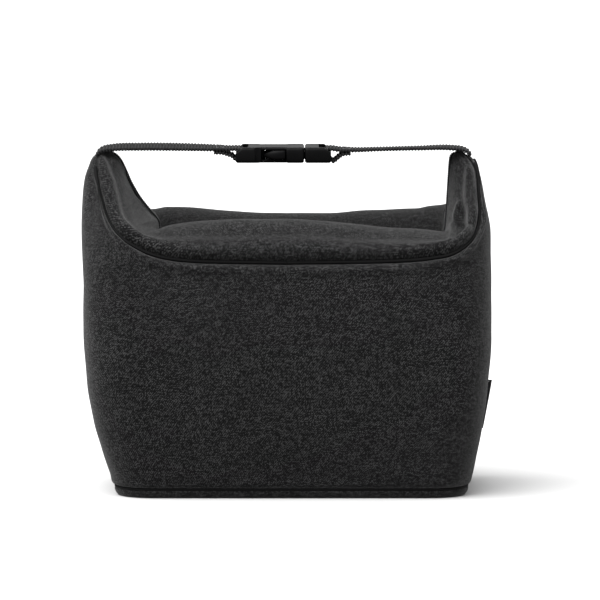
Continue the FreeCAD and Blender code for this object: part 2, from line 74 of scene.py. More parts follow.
def curveAt(points, t):
    # monotone cubic through given points, one or more values per point
    rows = np.array(points, float)
    x, y = rows[:, 0], rows[:, 1:]
    h = np.diff(x)[:, None]
    d = np.diff(y, axis=0) / h
    m = np.zeros_like(y)
    m[0], m[-1] = d[0], d[-1]
    both = d[:-1] * d[1:] > 0
    w1, w2 = 2 * h[1:] + h[:-1], h[1:] + 2 * h[:-1]
    with np.errstate(divide="ignore", invalid="ignore"):
        m[1:-1] = np.where(both, (w1 + w2) / (w1 / d[:-1] + w2 / d[1:]), 0)
    t = np.clip(np.asarray(t, float), x[0], x[-1])
    k = np.clip(np.searchsorted(x, t) - 1, 0, len(x) - 2)
    step = (x[k + 1] - x[k])[..., None]
    f = (t - x[k])[..., None] / step
    out = between(f, y[k], y[k + 1], m[k] * step, m[k + 1] * step)
    return out[..., 0] if out.shape[-1] == 1 else out


def crowded(n, pull):
    # 0 to 1 in n steps, closer together at both ends
    t = np.linspace(0, 1, n)
    return t - pull * np.sin(2 * np.pi * t) / (2 * np.pi)


def gridNormals(p):
    du = np.gradient(p, axis=1)
    dv = np.gradient(p, axis=0)
    n = np.cross(du, dv)
    size = np.linalg.norm(n, axis=2, keepdims=True)
    return n / np.maximum(size, 1e-9)


def waves(p, size, height, count, seed):
    # gentle unevenness, the same on every run
    pick = np.random.default_rng(seed)
    total = np.zeros(p.shape[:2])
    for _ in range(count):
        way = pick.normal(size=3)
        way /= np.linalg.norm(way)
        length = size * pick.uniform(0.6, 1.5)
        total += np.sin(p @ way * 2 * np.pi / length + pick.uniform(0, 6.28))
    return total * height / math.sqrt(count)


def groove(d, depth, width):
    # how far cloth sinks at a seam, with a soft lip beside it
    lip = 0.35 * depth * np.exp(-((d - 3.2 * width) / (1.6 * width)) ** 2)
    return -depth * np.exp(-(d / width) ** 2) + lip


def lengthAlong(p, axis):
    step = np.linalg.norm(np.diff(p, axis=axis), axis=2)
    total = np.cumsum(step, axis=axis)
    pad = [(0, 0), (0, 0)]
    pad[axis] = (1, 0)
    return np.pad(total, pad)


def newObject(name, verts, faces, material, normals=None, uv=None):
    mesh = bpy.data.meshes.new(name)
    mesh.from_pydata((np.asarray(verts) * mm).tolist(), [], faces)
    mesh.shade_smooth()
    if uv is not None:
        layer = mesh.uv_layers.new(name="cloth")
        ids = np.zeros(len(mesh.loops), np.int32)
        mesh.loops.foreach_get("vertex_index", ids)
        layer.data.foreach_set("uv", (np.asarray(uv)[ids] * mm).astype(np.float32).ravel())
    if normals is not None:
        mesh.normals_split_custom_set_from_vertices(np.asarray(normals).tolist())
    mesh.materials.append(material)
    piece = bpy.data.objects.new(name, mesh)
    bpy.context.scene.collection.objects.link(piece)
    return piece


def shell(name, p, n, uv, thick, material):
    # a closed sheet: outer grid, inner grid and a rim
    rows, cols = p.shape[:2]
    verts = np.concatenate([p.reshape(-1, 3), (p - n * thick).reshape(-1, 3)])
    normals = np.concatenate([n.reshape(-1, 3), -n.reshape(-1, 3)])
    r, c = np.meshgrid(np.arange(rows - 1), np.arange(cols - 1), indexing="ij")
    a = (r * cols + c).ravel()
    outer = np.stack([a, a + 1, a + cols + 1, a + cols], 1)
    low = rows * cols
    inner = outer[:, ::-1] + low
    ring = list(range(cols))
    ring += [k * cols + cols - 1 for k in range(1, rows)]
    ring += [(rows - 1) * cols + k for k in range(cols - 2, -1, -1)]
    ring += [k * cols for k in range(rows - 2, 0, -1)]
    rim = [[b, a, a + low, b + low] for a, b in zip(ring, ring[1:] + ring[:1])]
    both = np.concatenate([uv.reshape(-1, 2), uv.reshape(-1, 2)])
    return newObject(name, verts, outer.tolist() + inner.tolist() + rim, material, normals, both)


def ringFaces(rows, count, low=0, flip=False, joined=False):
    # walls and ends of a body whose points come in rings; low is its first point
    faces = []
    for k in range(rows if joined else rows - 1):
        here, after = low + k * count, low + (k + 1) % rows * count
        for c in range(count):
            d = (c + 1) % count
            faces.append((here + c, here + d, after + d, after + c))
    if not joined:
        faces.append(tuple(range(low + count - 1, low - 1, -1)))
        faces.append(tuple(range(low + (rows - 1) * count, low + rows * count)))
    return [face[::-1] for face in faces] if flip else faces


def setWeights(piece, bodyA, bodyB, weightOf):
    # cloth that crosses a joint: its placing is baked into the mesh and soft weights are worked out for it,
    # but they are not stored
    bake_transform(piece)
    co = np.array([v.co for v in piece.data.vertices]) / mm
    values = np.clip(weightOf(co), 0, 1).astype(np.float32)
    return piece


# finishes: each one is worked out from the surface itself

class Nodes:
    # short way to wire a material
    def __init__(self, name):
        self.material = bpy.data.materials.new(name)
        self.material.use_nodes = True
        self.tree = self.material.node_tree
        self.shader = self.tree.nodes["Principled BSDF"]

    def put(self, kind, inputs=None, **settings):
        node = self.tree.nodes.new(kind)
        for key, value in settings.items():
            setattr(node, key, value)
        for key, value in (inputs or {}).items():
            if isinstance(value, bpy.types.NodeSocket):
                self.tree.links.new(value, node.inputs[key])
            else:
                node.inputs[key].default_value = value
        return node

    def math(self, kind, a, b=0.0):
        return self.put("ShaderNodeMath", {0: a, 1: b}, operation=kind).outputs[0]

    def place(self):
        return self.put("ShaderNodeTexCoord").outputs["Object"]

    def weave(self):
        # the cloth's own flat places: both together, along and up
        uv = self.put("ShaderNodeUVMap", uv_map="cloth").outputs["UV"]
        split = self.put("ShaderNodeSeparateXYZ", {"Vector": uv})
        return uv, split.outputs[0], split.outputs[1]

    def blended(self, *parts):
        # sum of values, each with its share
        total = None
        for value, share in parts:
            part = self.math("MULTIPLY", value, share)
            total = part if total is None else self.math("ADD", total, part)
        return total

    def ramp(self, factor, stops):
        node = self.put("ShaderNodeValToRGB", {"Fac": factor})
        ramp = node.color_ramp
        while len(ramp.elements) < len(stops):
            ramp.elements.new(0.5)
        for element, (place, colour) in zip(ramp.elements, stops):
            element.position = place
            element.color = (*colour, 1)
        return node.outputs["Color"]

    def mix(self, factor, a, b, kind="MIX"):
        node = self.put("ShaderNodeMix", data_type="RGBA", blend_type=kind)
        for key, value in ((0, factor), (6, a), (7, b)):
            if isinstance(value, bpy.types.NodeSocket):
                self.tree.links.new(value, node.inputs[key])
            else:
                node.inputs[key].default_value = value
        return node.outputs[2]

    def noise(self, vector, scale, detail=3.0, rough=0.55):
        inputs = {"Vector": vector, "Scale": scale, "Detail": detail, "Roughness": rough}
        return self.put("ShaderNodeTexNoise", inputs).outputs["Fac"]

    def stretched(self, vector, size):
        return self.put("ShaderNodeMapping", {"Vector": vector, "Scale": size}).outputs["Vector"]

    def bump(self, height, strength, distance, normal=None):
        inputs = {"Height": height, "Strength": strength, "Distance": distance}
        if normal is not None:
            inputs["Normal"] = normal
        return self.put("ShaderNodeBump", inputs).outputs["Normal"]

    def finish(self, colour=None, normal=None, rough=None, **fixed):
        for key, value in fixed.items():
            self.shader.inputs[key.replace("_", " ")].default_value = value
        for key, value in (("Base Color", colour), ("Normal", normal), ("Roughness", rough)):
            if isinstance(value, bpy.types.NodeSocket):
                self.tree.links.new(value, self.shader.inputs[key])
            elif value is not None:
                self.shader.inputs[key].default_value = value
        return self.material


cloth = {
    # yarn sizes and the drift of the weave are metres
    "twill": 0.0016, "twillSlope": 0.85, "thread": 0.00068, "slub": 0.0047, "warpSlub": 0.0030,
    "drift": 0.0004, "driftScale": 420.0, "sway": 7.0, "swayScale": 230, "patchScale": 420,
    "softScale": (260, 1300), "wideScale": 16,
    "dotShare": 0.57, "weftShare": 0.20, "warpShare": 0.10, "softShare": 0.13, "twillShare": 0.28,
    "dark": (0.0003, 0.0003, 0.0004), "mid": (0.0025, 0.0025, 0.0026), "light": (0.030, 0.030, 0.0303),
    "darkAt": 0.30, "midAt": 0.52, "lightAt": 0.80, "relief": 0.0004, "rough": 0.92, "sheen": 0.11,
}


def makeClothMaterial():
    # dark and pale yarns crossing at random, over a soft diagonal rib
    m = Nodes("heatherCloth")
    uv, x, y = m.weave()
    loose = m.put("ShaderNodeTexNoise", {"Vector": uv, "Scale": cloth["driftScale"], "Detail": 2.0})
    inputs = {0: loose.outputs["Color"], 1: (cloth["drift"],) * 3, 2: uv}
    drift = m.put("ShaderNodeVectorMath", inputs, operation="MULTIPLY_ADD").outputs[0]

    def yarns(long, high):
        place = m.put("ShaderNodeVectorMath", {0: drift, 1: (long, high, 1)}, operation="SNAP").outputs[0]
        return m.put("ShaderNodeTexWhiteNoise", {"Vector": place}, noise_dimensions="2D").outputs["Value"]

    def uneven(across, up, *detail):
        return m.noise(m.stretched(uv, (across, up, 1)), 1.0, *detail)

    sway = m.math("MULTIPLY", uneven(cloth["swayScale"], cloth["swayScale"], 2.0), cloth["sway"])
    slant = m.math("SUBTRACT", x, m.math("MULTIPLY", y, cloth["twillSlope"]))
    slope = m.math("MULTIPLY", slant, 2 * math.pi / cloth["twill"])
    twill = m.math("SINE", m.math("ADD", slope, sway))
    patch = uneven(cloth["patchScale"], cloth["patchScale"], 2.0)
    dots, weft = yarns(cloth["thread"], cloth["thread"]), yarns(cloth["slub"], cloth["thread"])
    warp = yarns(cloth["thread"], cloth["warpSlub"])
    soft = uneven(*cloth["softScale"], 3.0, 0.7)
    mixed = m.blended((dots, cloth["dotShare"]), (weft, cloth["weftShare"]), (warp, cloth["warpShare"]),
                      (soft, cloth["softShare"]))
    mixed = m.math("ADD", mixed, m.math("MULTIPLY", twill, m.math("MULTIPLY", patch, cloth["twillShare"])))
    colour = m.ramp(mixed, [(cloth[name + "At"], cloth[name]) for name in ("dark", "mid", "light")])
    wide = uneven(cloth["wideScale"], cloth["wideScale"], 2.0)
    colour = m.mix(0.5, colour, m.ramp(wide, [(0.3, (0.7, 0.7, 0.7)), (0.7, (1, 1, 1))]), "MULTIPLY")
    fuzz = m.math("ADD", soft, m.math("MULTIPLY", dots, 0.4))
    height = m.math("ADD", m.math("MULTIPLY", twill, 0.35), fuzz)
    normal = m.bump(height, 0.6, cloth["relief"])
    return m.finish(colour, normal, cloth["rough"], Sheen_Weight=cloth["sheen"], Sheen_Roughness=0.35,
                    Specular_IOR_Level=0.12)


webbing = {
    # rib and strand are metres
    "rib": 0.0021, "strand": 0.0013,
    "colour": (0.0012, 0.0012, 0.0013), "mid": (0.0045, 0.0045, 0.0047), "worn": (0.030, 0.030, 0.031),
}


def makeWebbingMaterial():
    m = Nodes("blackWebbing")
    uv, x, y = m.weave()
    rib = m.math("SINE", m.math("MULTIPLY", x, 2 * math.pi / webbing["rib"]))
    strand = m.math("SINE", m.math("MULTIPLY", y, 2 * math.pi / webbing["strand"]))
    fibre = m.noise(m.stretched(uv, (1800, 700, 1)), 1.0, 3.0)
    patch = m.noise(m.stretched(uv, (90, 90, 1)), 1.0, 2.0)
    mixed = m.blended((rib, 0.26), (fibre, 0.7), (patch, 0.25), (strand, 0.06))
    colour = m.ramp(mixed, [(0.35, webbing["colour"]), (0.64, webbing["mid"]), (0.92, webbing["worn"])])
    height = m.blended((m.math("MULTIPLY", rib, strand), 0.5), (rib, 0.6))
    normal = m.bump(m.math("ADD", height, fibre), 0.5, 0.0003)
    return m.finish(colour, normal, 0.8, Sheen_Weight=0.02, Specular_IOR_Level=0.08)


def makePlasticMaterial(name, colour, rough, grain, shine=0.16):
    m = Nodes(name)
    place = m.place()
    fine = m.noise(place, 2600.0, 2.0)
    wear = m.noise(place, 60.0, 3.0)
    light = tuple(min(1, c * 1.5 + 0.001) for c in colour)
    shade = m.ramp(wear, [(0.35, colour), (0.75, light)])
    dull = m.math("ADD", m.math("MULTIPLY", wear, 0.12), rough - 0.06)
    return m.finish(shade, m.bump(fine, grain, 0.0001), dull, Specular_IOR_Level=shine)


def makeMetalMaterial():
    m = Nodes("blackZipMetal")
    place = m.place()
    wear = m.noise(place, 420.0, 4.0)
    colour = m.ramp(wear, [(0.5, (0.012, 0.012, 0.013)), (0.85, (0.05, 0.05, 0.052))])
    return m.finish(colour, m.bump(wear, 0.15, 0.0001), 0.34, Metallic=0.75)


def makeFoamMaterial():
    m = Nodes("paleFoam")
    place = m.place()
    cells = m.put("ShaderNodeTexVoronoi", {"Vector": place, "Scale": 700.0}).outputs["Distance"]
    colour = m.ramp(cells, [(0.0, (0.55, 0.55, 0.53)), (0.6, (0.78, 0.78, 0.76))])
    return m.finish(colour, m.bump(cells, 0.6, 0.0005), 0.9)


def makeLinerMaterial():
    m = Nodes("silverLiner")
    place = m.place()
    crinkle = m.noise(place, 55.0, 5.0, 0.6)
    fine = m.noise(place, 900.0, 2.0)
    colour = m.ramp(crinkle, [(0.3, (0.38, 0.39, 0.40)), (0.7, (0.55, 0.56, 0.58))])
    normal = m.bump(crinkle, 0.45, 0.004, m.bump(fine, 0.2, 0.0002))
    return m.finish(colour, normal, 0.38, Metallic=0.55)


def makeThreadMaterial(name, dark, light):
    m = Nodes(name)
    place = m.place()
    twist = m.noise(place, 3000.0, 2.0)
    colour = m.ramp(twist, [(0.3, dark), (0.7, light)])
    return m.finish(colour, m.bump(twist, 0.4, 0.0001), 0.6)


def makeTapeMaterial(name, dark, light):
    m = Nodes(name)
    uv, x, y = m.weave()
    rows = m.math("SINE", m.math("MULTIPLY", m.math("ADD", x, m.math("ABSOLUTE", y)), 2 * math.pi / 0.0009))
    fibre = m.noise(m.stretched(uv, (2200, 2200, 1)), 1.0, 2.0)
    mixed = m.math("ADD", m.math("MULTIPLY", rows, 0.15), fibre)
    colour = m.ramp(mixed, [(0.35, dark), (0.75, light)])
    return m.finish(colour, m.bump(mixed, 0.5, 0.0002), 0.8, Specular_IOR_Level=0.1)


clothMaterial = makeClothMaterial()
webbingMaterial = makeWebbingMaterial()
buckleMaterial = makePlasticMaterial("buckleNylon", (0.0004, 0.0004, 0.0005), 0.46, 0.1, 0.05)
teethMaterial = makePlasticMaterial("zipNylon", (0.010, 0.010, 0.011), 0.38, 0.05)
boardMaterial = makePlasticMaterial("boardPlastic", (0.03, 0.03, 0.03), 0.7, 0.2)
metalMaterial = makeMetalMaterial()
foamMaterial = makeFoamMaterial()
linerMaterial = makeLinerMaterial()
threadMaterial = makeThreadMaterial("sewingThread", (0.006, 0.006, 0.0065), (0.03, 0.03, 0.031))
paleThreadMaterial = makeThreadMaterial("paleThread", (0.12, 0.12, 0.12), (0.3, 0.3, 0.3))
tapeMaterial = makeTapeMaterial("wovenTape", (0.0025, 0.0025, 0.0027), (0.014, 0.014, 0.0145))
# tape finish for the seam cords, darker than the cloth: painted shade in the seam grooves
seamShadeCordMaterial = makeTapeMaterial("seamShadeCordTape", (0.0006, 0.0006, 0.0007), (0.003, 0.003, 0.0031))
print("materials ready")


# outer form of the bag: half widths, half depth and corner radius by height

bag = {
    "left": [(0, 110.2), (3, 113.2), (6, 115.2), (10, 117), (16, 119), (31, 123.8), (52, 129.4),
             (73, 133.0),
             (92, 134.6), (112, 135.6), (150, 135.6), (172, 136.2), (192, 135.9), (201, 135.4),
             (210, 134.4),
             (217.5, 132.3), (222.5, 129.6), (226.5, 126)],
    "right": [(0, 114.5), (3, 118.6), (6, 121.2), (10, 122.6), (16, 124.3), (33, 127.4), (52, 130.4),
              (75, 133.6),
              (92, 135.0), (107, 135.8), (160, 135.5), (177, 135.1), (187, 133.8), (195, 132.2),
              (205.5, 130.4),
              (213, 128.6), (220, 125.2), (223.3, 122), (226.5, 117)],
    "depth": [(0, 54), (3, 56.8), (6, 58.4), (20, 62.8), (50, 69.8), (85, 74.6), (115, 76.2), (140, 75.2),
              (159, 72.4), (170, 67.5), (180, 59), (190, 50), (200, 40.5), (210, 29.5), (218, 20),
              (224, 13), (227, 9)],
    "corner": [(0, 22), (6, 26), (60, 31), (115, 34.5), (159, 31), (180, 28), (195, 23.5), (205, 18),
               (215, 12),
               (227, 6)],
    "bow": [(0, 0), (6, 0.2), (60, 1.6), (110, 1.8), (150, 0.8), (162, 0), (227, 0)],
    "sideShare": 0.10,
    "cornerShare": 0.245,
    "baseSeam": 6.0,
}


def bodyPoint(u, z):
    # u runs from the left side seam, 0, round the front to the right side seam, 1
    u, z = np.broadcast_arrays(np.asarray(u, float), np.asarray(z, float))
    isLeft = u <= 0.5
    half = np.where(isLeft, curveAt(bag["left"], z), curveAt(bag["right"], z))
    depth = curveAt(bag["depth"], z)
    radius = np.minimum(curveAt(bag["corner"], z), depth - 0.5)
    h = np.where(isLeft, u, 1 - u)
    a, b = bag["sideShare"], bag["cornerShare"]
    turn = np.clip((h - a) / (b - a), 0, 1) * np.pi / 2
    x = (half - radius) + radius * np.cos(turn)
    y = (depth - radius) * np.clip(h / a, 0, 1) + radius * np.sin(turn)
    inFront = np.clip((h - b) / (0.5 - b), 0, 1)
    x = np.where(h > b, (half - radius) * (1 - inFront), x)
    y = y + curveAt(bag["bow"], z) * softStep(inFront * 1.4)
    return np.stack([np.where(isLeft, -x, x), -y, z], -1)


smile = {
    # place along the seam from an ear's tip, round position, height
    "left": [(0, 0, 226.5), (0.018, 0.09, 225.8), (0.037, 0.163, 222.4), (0.05, 0.19, 217.8),
             (0.07, 0.198, 210),
             (0.096, 0.20, 201), (0.123, 0.205, 191.8), (0.152, 0.2186, 182.6), (0.184, 0.24, 175.5),
             (0.21, 0.259, 170.5), (0.235, 0.277, 166.6), (0.259, 0.298, 163.8), (0.293, 0.329, 161.6),
             (0.338, 0.371, 160.5), (0.5, 0.5, 159.7)],
    "right": [(0, 0, 226), (0.02, 0.085, 225.4), (0.04, 0.136, 222.4), (0.062, 0.139, 215),
              (0.081, 0.1405, 208),
              (0.10, 0.1415, 201), (0.12, 0.143, 194), (0.14, 0.152, 187), (0.158, 0.167, 180.6),
              (0.177, 0.182, 175), (0.20, 0.206, 169.5), (0.228, 0.234, 165.4), (0.262, 0.267, 163),
              (0.285, 0.288, 161.9), (0.353, 0.352, 160.6), (0.5, 0.5, 159.7)],
}


def smileAt(s):
    s = np.asarray(s, float)
    left = curveAt(smile["left"], np.minimum(s, 0.5))
    right = curveAt(smile["right"], np.minimum(1 - s, 0.5))
    isLeft = s <= 0.5
    u = np.where(isLeft, left[..., 0], 1 - right[..., 0])
    return u, np.where(isLeft, left[..., 1], right[..., 1])


top = {
    # place, the zip edge's x, distance from the middle and height, bulge in front and behind, lean, roundness
    "left": [(0, 119.5, 1.5, 227.0, 0.8, 0.8, 0.6, 0.9), (0.037, 114.6, 2.6, 224.8, 2.2, 2.2, 0.2, 0.8),
             (0.05, 111.4, 3.0, 221.4, 3.8, 3.8, 0, 0.72), (0.07, 108.4, 3.5, 215.6, 5.6, 5.4, 0, 0.66),
             (0.096, 104.4, 4.0, 206.4, 7.0, 6.4, 0, 0.62), (0.123, 98.4, 4.4, 196.0, 7.4, 6.6, 0, 0.62),
             (0.152, 91.6, 4.7, 187.2, 6.8, 6.6, 0.2, 0.66), (0.184, 85.7, 4.9, 179.2, 7.0, 8.5, 0.5, 0.75),
             (0.21, 84.6, 5.1, 169.4, 9.5, 14.0, 0.8, 0.85),
             (0.235, 81.4, 5.3, 163.4, 13.8, 19.2, 0.95, 0.92),
             (0.259, 76.5, 5.5, 162.6, 17.6, 22.2, 1, 0.97), (0.293, 69.0, 5.5, 162.6, 20.3, 22.9, 1, 0.97),
             (0.338, 56.0, 5.5, 162.6, 22.6, 23.0, 1, 0.97), (0.42, 28.0, 5.5, 162.6, 23.9, 21.0, 1, 0.97),
             (0.5, 0.0, 5.5, 162.6, 23.7, 20.4, 1, 0.97)],
    "right": [(0, 113.6, 1.5, 226.8, 0.8, 0.8, 0.6, 0.9), (0.04, 109.4, 2.6, 223.4, 2.4, 2.4, 0.2, 0.85),
              (0.062, 108.6, 3.3, 216.6, 3.8, 3.8, 0, 0.8), (0.081, 108.2, 3.8, 210.2, 4.8, 4.8, 0, 0.76),
              (0.10, 107.8, 4.1, 203.6, 5.4, 5.4, 0, 0.74), (0.12, 107.4, 4.4, 196.8, 5.8, 5.8, 0, 0.74),
              (0.14, 107.0, 4.6, 190.0, 6.0, 6.0, 0.15, 0.76),
              (0.158, 106.6, 4.8, 184.0, 5.8, 8.5, 0.3, 0.8),
              (0.177, 106.2, 4.9, 178.2, 6.0, 13.0, 0.5, 0.85),
              (0.20, 105.2, 5.1, 172.4, 7.6, 18.0, 0.8, 0.9),
              (0.228, 102.4, 5.3, 167.2, 10.6, 21.0, 0.95, 0.95),
              (0.262, 94.6, 5.5, 163.8, 14.8, 22.6, 1, 0.97),
              (0.285, 87.6, 5.5, 163.0, 16.6, 21.9, 1, 0.97),
              (0.353, 63.0, 5.5, 162.6, 19.0, 22.6, 1, 0.97),
              (0.43, 30.5, 5.5, 162.6, 21.8, 21.2, 1, 0.97), (0.5, 0.0, 5.5, 162.6, 23.7, 20.4, 1, 0.97)],
    "rollHeight": 3.2, "rollPlace": 6.6, "rollWidth": 4.4,
}
folds = [
    # soft creases on the ears: from and to seen from the front, height, half width
    ((107.6, 171.0), (115.6, 195.0), 2.4, 1.5), ((112.0, 175.0), (118.0, 190.0), -2.2, 2.8),
    ((110.5, 182.5), (123.5, 180.5), -2.6, 2.4), ((121.5, 216.0), (123.5, 186.0), 1.9, 3.0),
    ((-106.0, 214.0), (-101.0, 197.0), -1.1, 4.2), ((-104.0, 197.0), (-90.0, 178.0), -1.3, 5.0),
    ((-118.0, 221.5), (-113.0, 219.5), 0.7, 3.0), ((112.0, 214.0), (118.5, 218.5), 0.9, 2.6),
]


def zipRow(s):
    left = curveAt(top["left"], np.minimum(s, 0.5))
    right = curveAt(top["right"], np.minimum(1 - s, 0.5))
    return np.where((s <= 0.5)[:, None], left, right), np.where(s <= 0.5, -1.0, 1.0)


def foldLift(p):
    # ridges and valleys laid over the cloth where it creases
    x, z = p[..., 0], p[..., 2]
    total = np.zeros(x.shape)
    for (x0, z0), (x1, z1), height, width in folds:
        long = math.hypot(x1 - x0, z1 - z0)
        along = ((x - x0) * (x1 - x0) + (z - z0) * (z1 - z0)) / long
        off = ((z - z0) * (x1 - x0) - (x - x0) * (z1 - z0)) / long
        ends = softStep((along + 3) / 6) * softStep((long + 3 - along) / 6)
        total += height * np.exp(-(off / width) ** 2) * ends
    return total


def topGrid(s, t, front):
    # s along the bag from the left tip to the right tip, t from the curved seam up and over to the zip
    u, z = smileAt(s)
    start = bodyPoint(u, z)
    row, side = zipRow(s)
    end = np.stack([side * row[:, 0], -row[:, 1], row[:, 2]], -1)
    bulge = row[:, 3] if front else row[:, 4]
    lean = row[:, 5:6]
    outward = np.stack([-side * 0.55, -np.full_like(s, 0.83), np.zeros_like(s)], -1)
    up = np.broadcast_to(np.array([0.0, -0.06, 1.0]), outward.shape)
    way = outward * (1 - lean) + up * lean
    chord = end - start
    long = np.linalg.norm(chord, axis=1)
    flat = chord / long[:, None]
    way = way - (way * flat).sum(1, keepdims=True) * flat
    way /= np.linalg.norm(way, axis=1, keepdims=True)
    tt = t[:, None]
    rise = np.sin(np.pi * tt ** row[None, :, 6]) ** 0.82
    p = start[None] + chord[None] * tt[..., None] + way[None] * (bulge[None] * rise)[..., None]
    share = np.clip(long / 34, 0.15, 1)[None]
    roll = np.exp(-((tt * long[None] - top["rollPlace"] * share) / (top["rollWidth"] * share)) ** 2)
    n = facing(p, np.array([0, -0.1, 1.0]))
    lift = roll * top["rollHeight"] * share
    if front:
        lift = lift + foldLift(p)
    return p + n * lift[..., None]


def facing(p, outward):
    # grid normals turned to the outside, judged at the middle of the grid
    n = gridNormals(p)
    return -n if (n[p.shape[0] // 2, p.shape[1] // 2] * outward).sum() < 0 else n


def finishCloth(p, seam, edges, seed, outward):
    # unevenness, seam grooves, then normals that face out; the curved seam is pulled in one shared way
    n = facing(p, outward)
    lift = waves(p, 95, 0.6, 6, seed) + waves(p, 38, 0.24, 8, seed + 1)
    distance, depth, width, inward = seam
    for away in [distance] + [edge[0] for edge in edges]:
        lift = lift * softStep(away / 12)
    for away, low, wide in edges:
        lift = lift + groove(away, low, wide)
    near = np.exp(-(distance / (1.6 * width)) ** 2)[..., None]
    way = n * (1 - near) - inward[None] * near
    way /= np.linalg.norm(way, axis=2, keepdims=True)
    p = p + n * lift[..., None] + way * groove(distance, depth, width)[..., None]
    return p, facing(p, outward)


def seamInward(s):
    # between the way the panel faces and the way the top faces, turned into the bag
    u, z = smileAt(s)
    small = 0.002
    across = bodyPoint(u + small, z) - bodyPoint(u - small, z)
    up = bodyPoint(u, z + 0.3) - bodyPoint(u, z - 0.3)
    panelOut = np.cross(across, up)
    panelOut /= np.linalg.norm(panelOut, axis=1, keepdims=True)
    topOut = facing(topGrid(s, np.linspace(0, 0.3, 7), True), np.array([0, -0.5, 1.0]))[0]
    inward = -(panelOut + topOut)
    for _ in range(3):
        inward[1:-1] = (inward[:-2] + inward[1:-1] + inward[2:]) / 3
    return inward / np.linalg.norm(inward, axis=1, keepdims=True)


def seamDepth(z, full):
    # seams are pulled in less where an ear grows narrow
    return full * (0.22 + 0.78 * softStep((225 - z) / 40))


def turnedBack(p):
    return p * np.array([1, -1, 1])


fineness = 1.0
panel = {
    "rows": int(120 * fineness), "cols": int(280 * fineness) // 2 * 2 + 1, "thick": 0.8, "weaveRow": 0.45,
    "grooveDepth": 5.2, "grooveWidth": 2.0,
    "shoulder": 154, "shoulderReach": 50, "earFrom": 84, "earReach": 20,
    "padding": 3.4, "padTop": 168.0, "padFrom": 0.14, "padTo": 0.84, "padGap": 0.25,
    "coarse": 4 if fineness == 1 else 2,
}


def earWeight(co):
    # weight 0 at the shoulder, rising to 1 at the tip
    up = softStep((co[:, 2] - panel["shoulder"]) / panel["shoulderReach"])
    return up * softStep((np.abs(co[:, 0]) - panel["earFrom"]) / panel["earReach"])


def padBehind(name, grid, thick, bodies, weightOf, nodes):
    # a foam pad that follows the cloth in front of it
    grid = [part[:, ::panel["coarse"]] for part in grid]
    rows, cols = grid[0].shape[:2]
    tall = (grid[0][:, :, 2] < panel["padTop"]).sum(0) - 1
    share = np.linspace(panel["padFrom"], panel["padTo"], rows // panel["coarse"])
    pick = np.round(share[:, None] * tall[None]).astype(int)
    p, n, uv = (part[pick, np.arange(cols)[None]] for part in grid)
    pad = shell(name, p - n * (panel["thick"] + panel["padGap"]), n, uv, thick, foamMaterial)
    setWeights(pad, *bodies, weightOf)
    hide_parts(*nodes)


def makePanels():
    # front and back panels: one drawing, cut at the middle into a left and a right half
    s = np.linspace(0, 1, panel["cols"])
    v = crowded(panel["rows"], 0.8)[:, None]
    uTop, zTop = smileAt(s)
    lean = softStep((v - 0.55) / 0.45)
    u = s[None] * (1 - lean) + uTop[None] * lean
    z = bag["baseSeam"] + (zTop[None] - bag["baseSeam"]) * v
    base = bodyPoint(u, z)
    mid = panel["cols"] // 2
    depth = seamDepth(zTop, panel["grooveDepth"])[None]
    inward = seamInward(s)
    for where, sign in (("front", 1), ("back", -1)):
        p = base if where == "front" else turnedBack(base)
        outward = np.array([0, -sign, 0])
        up = lengthAlong(p, 0)
        across = lengthAlong(p, 1)
        edges = [(up, 1.3, 1.3), (across, 0.5, 0.9), (across[:, -1:] - across, 0.5, 0.9)]
        seam = up[-1][None] - up, depth, panel["grooveWidth"], inward * [1, sign, 1]
        p, n = finishCloth(p, seam, edges, 3 if where == "front" else 30, outward)
        straight = across[int(panel["weaveRow"] * len(up))]
        straight = np.broadcast_to(straight - straight[mid], up.shape)
        uv = np.stack([sign * straight, up], -1)
        for side, part in (("left", slice(0, mid + 1)), ("right", slice(mid, None))):
            cut = p[:, part], n[:, part], uv[:, part]
            if where == "back":
                cut = tuple(c[:, ::-1] for c in cut)
            piece = shell(f"{where}Panel_{side}", *cut, panel["thick"], clothMaterial)
            setWeights(piece, "root", "ear_" + side, earWeight)
            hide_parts(where + "_panel")
            padBehind(f"{where}Pad_{side}", cut, panel["padding"], ("root", "ear_" + side), earWeight,
                      [where + "_foam", side + "_foam"])
    print("front and back panels sewn")


topCloth = {
    "rows": int(72 * fineness), "cols": int(300 * fineness) // 2 * 2 + 1, "thick": 0.8, "padding": 2.4,
    "cutLeft": 0.262, "cutRight": 0.698, "grooveDepth": 5.2, "grooveWidth": 2.2, "weaveRow": 0.35,
    "weaveStart": 170, "mouthHalf": 72, "mouthReach": 54, "liningGap": 0.7, "liningThick": 0.4,
}


def flapWeight(co):
    # the weight is highest in the middle of the zip's mouth
    return softStep((topCloth["mouthHalf"] - np.abs(co[:, 0])) / topCloth["mouthReach"])


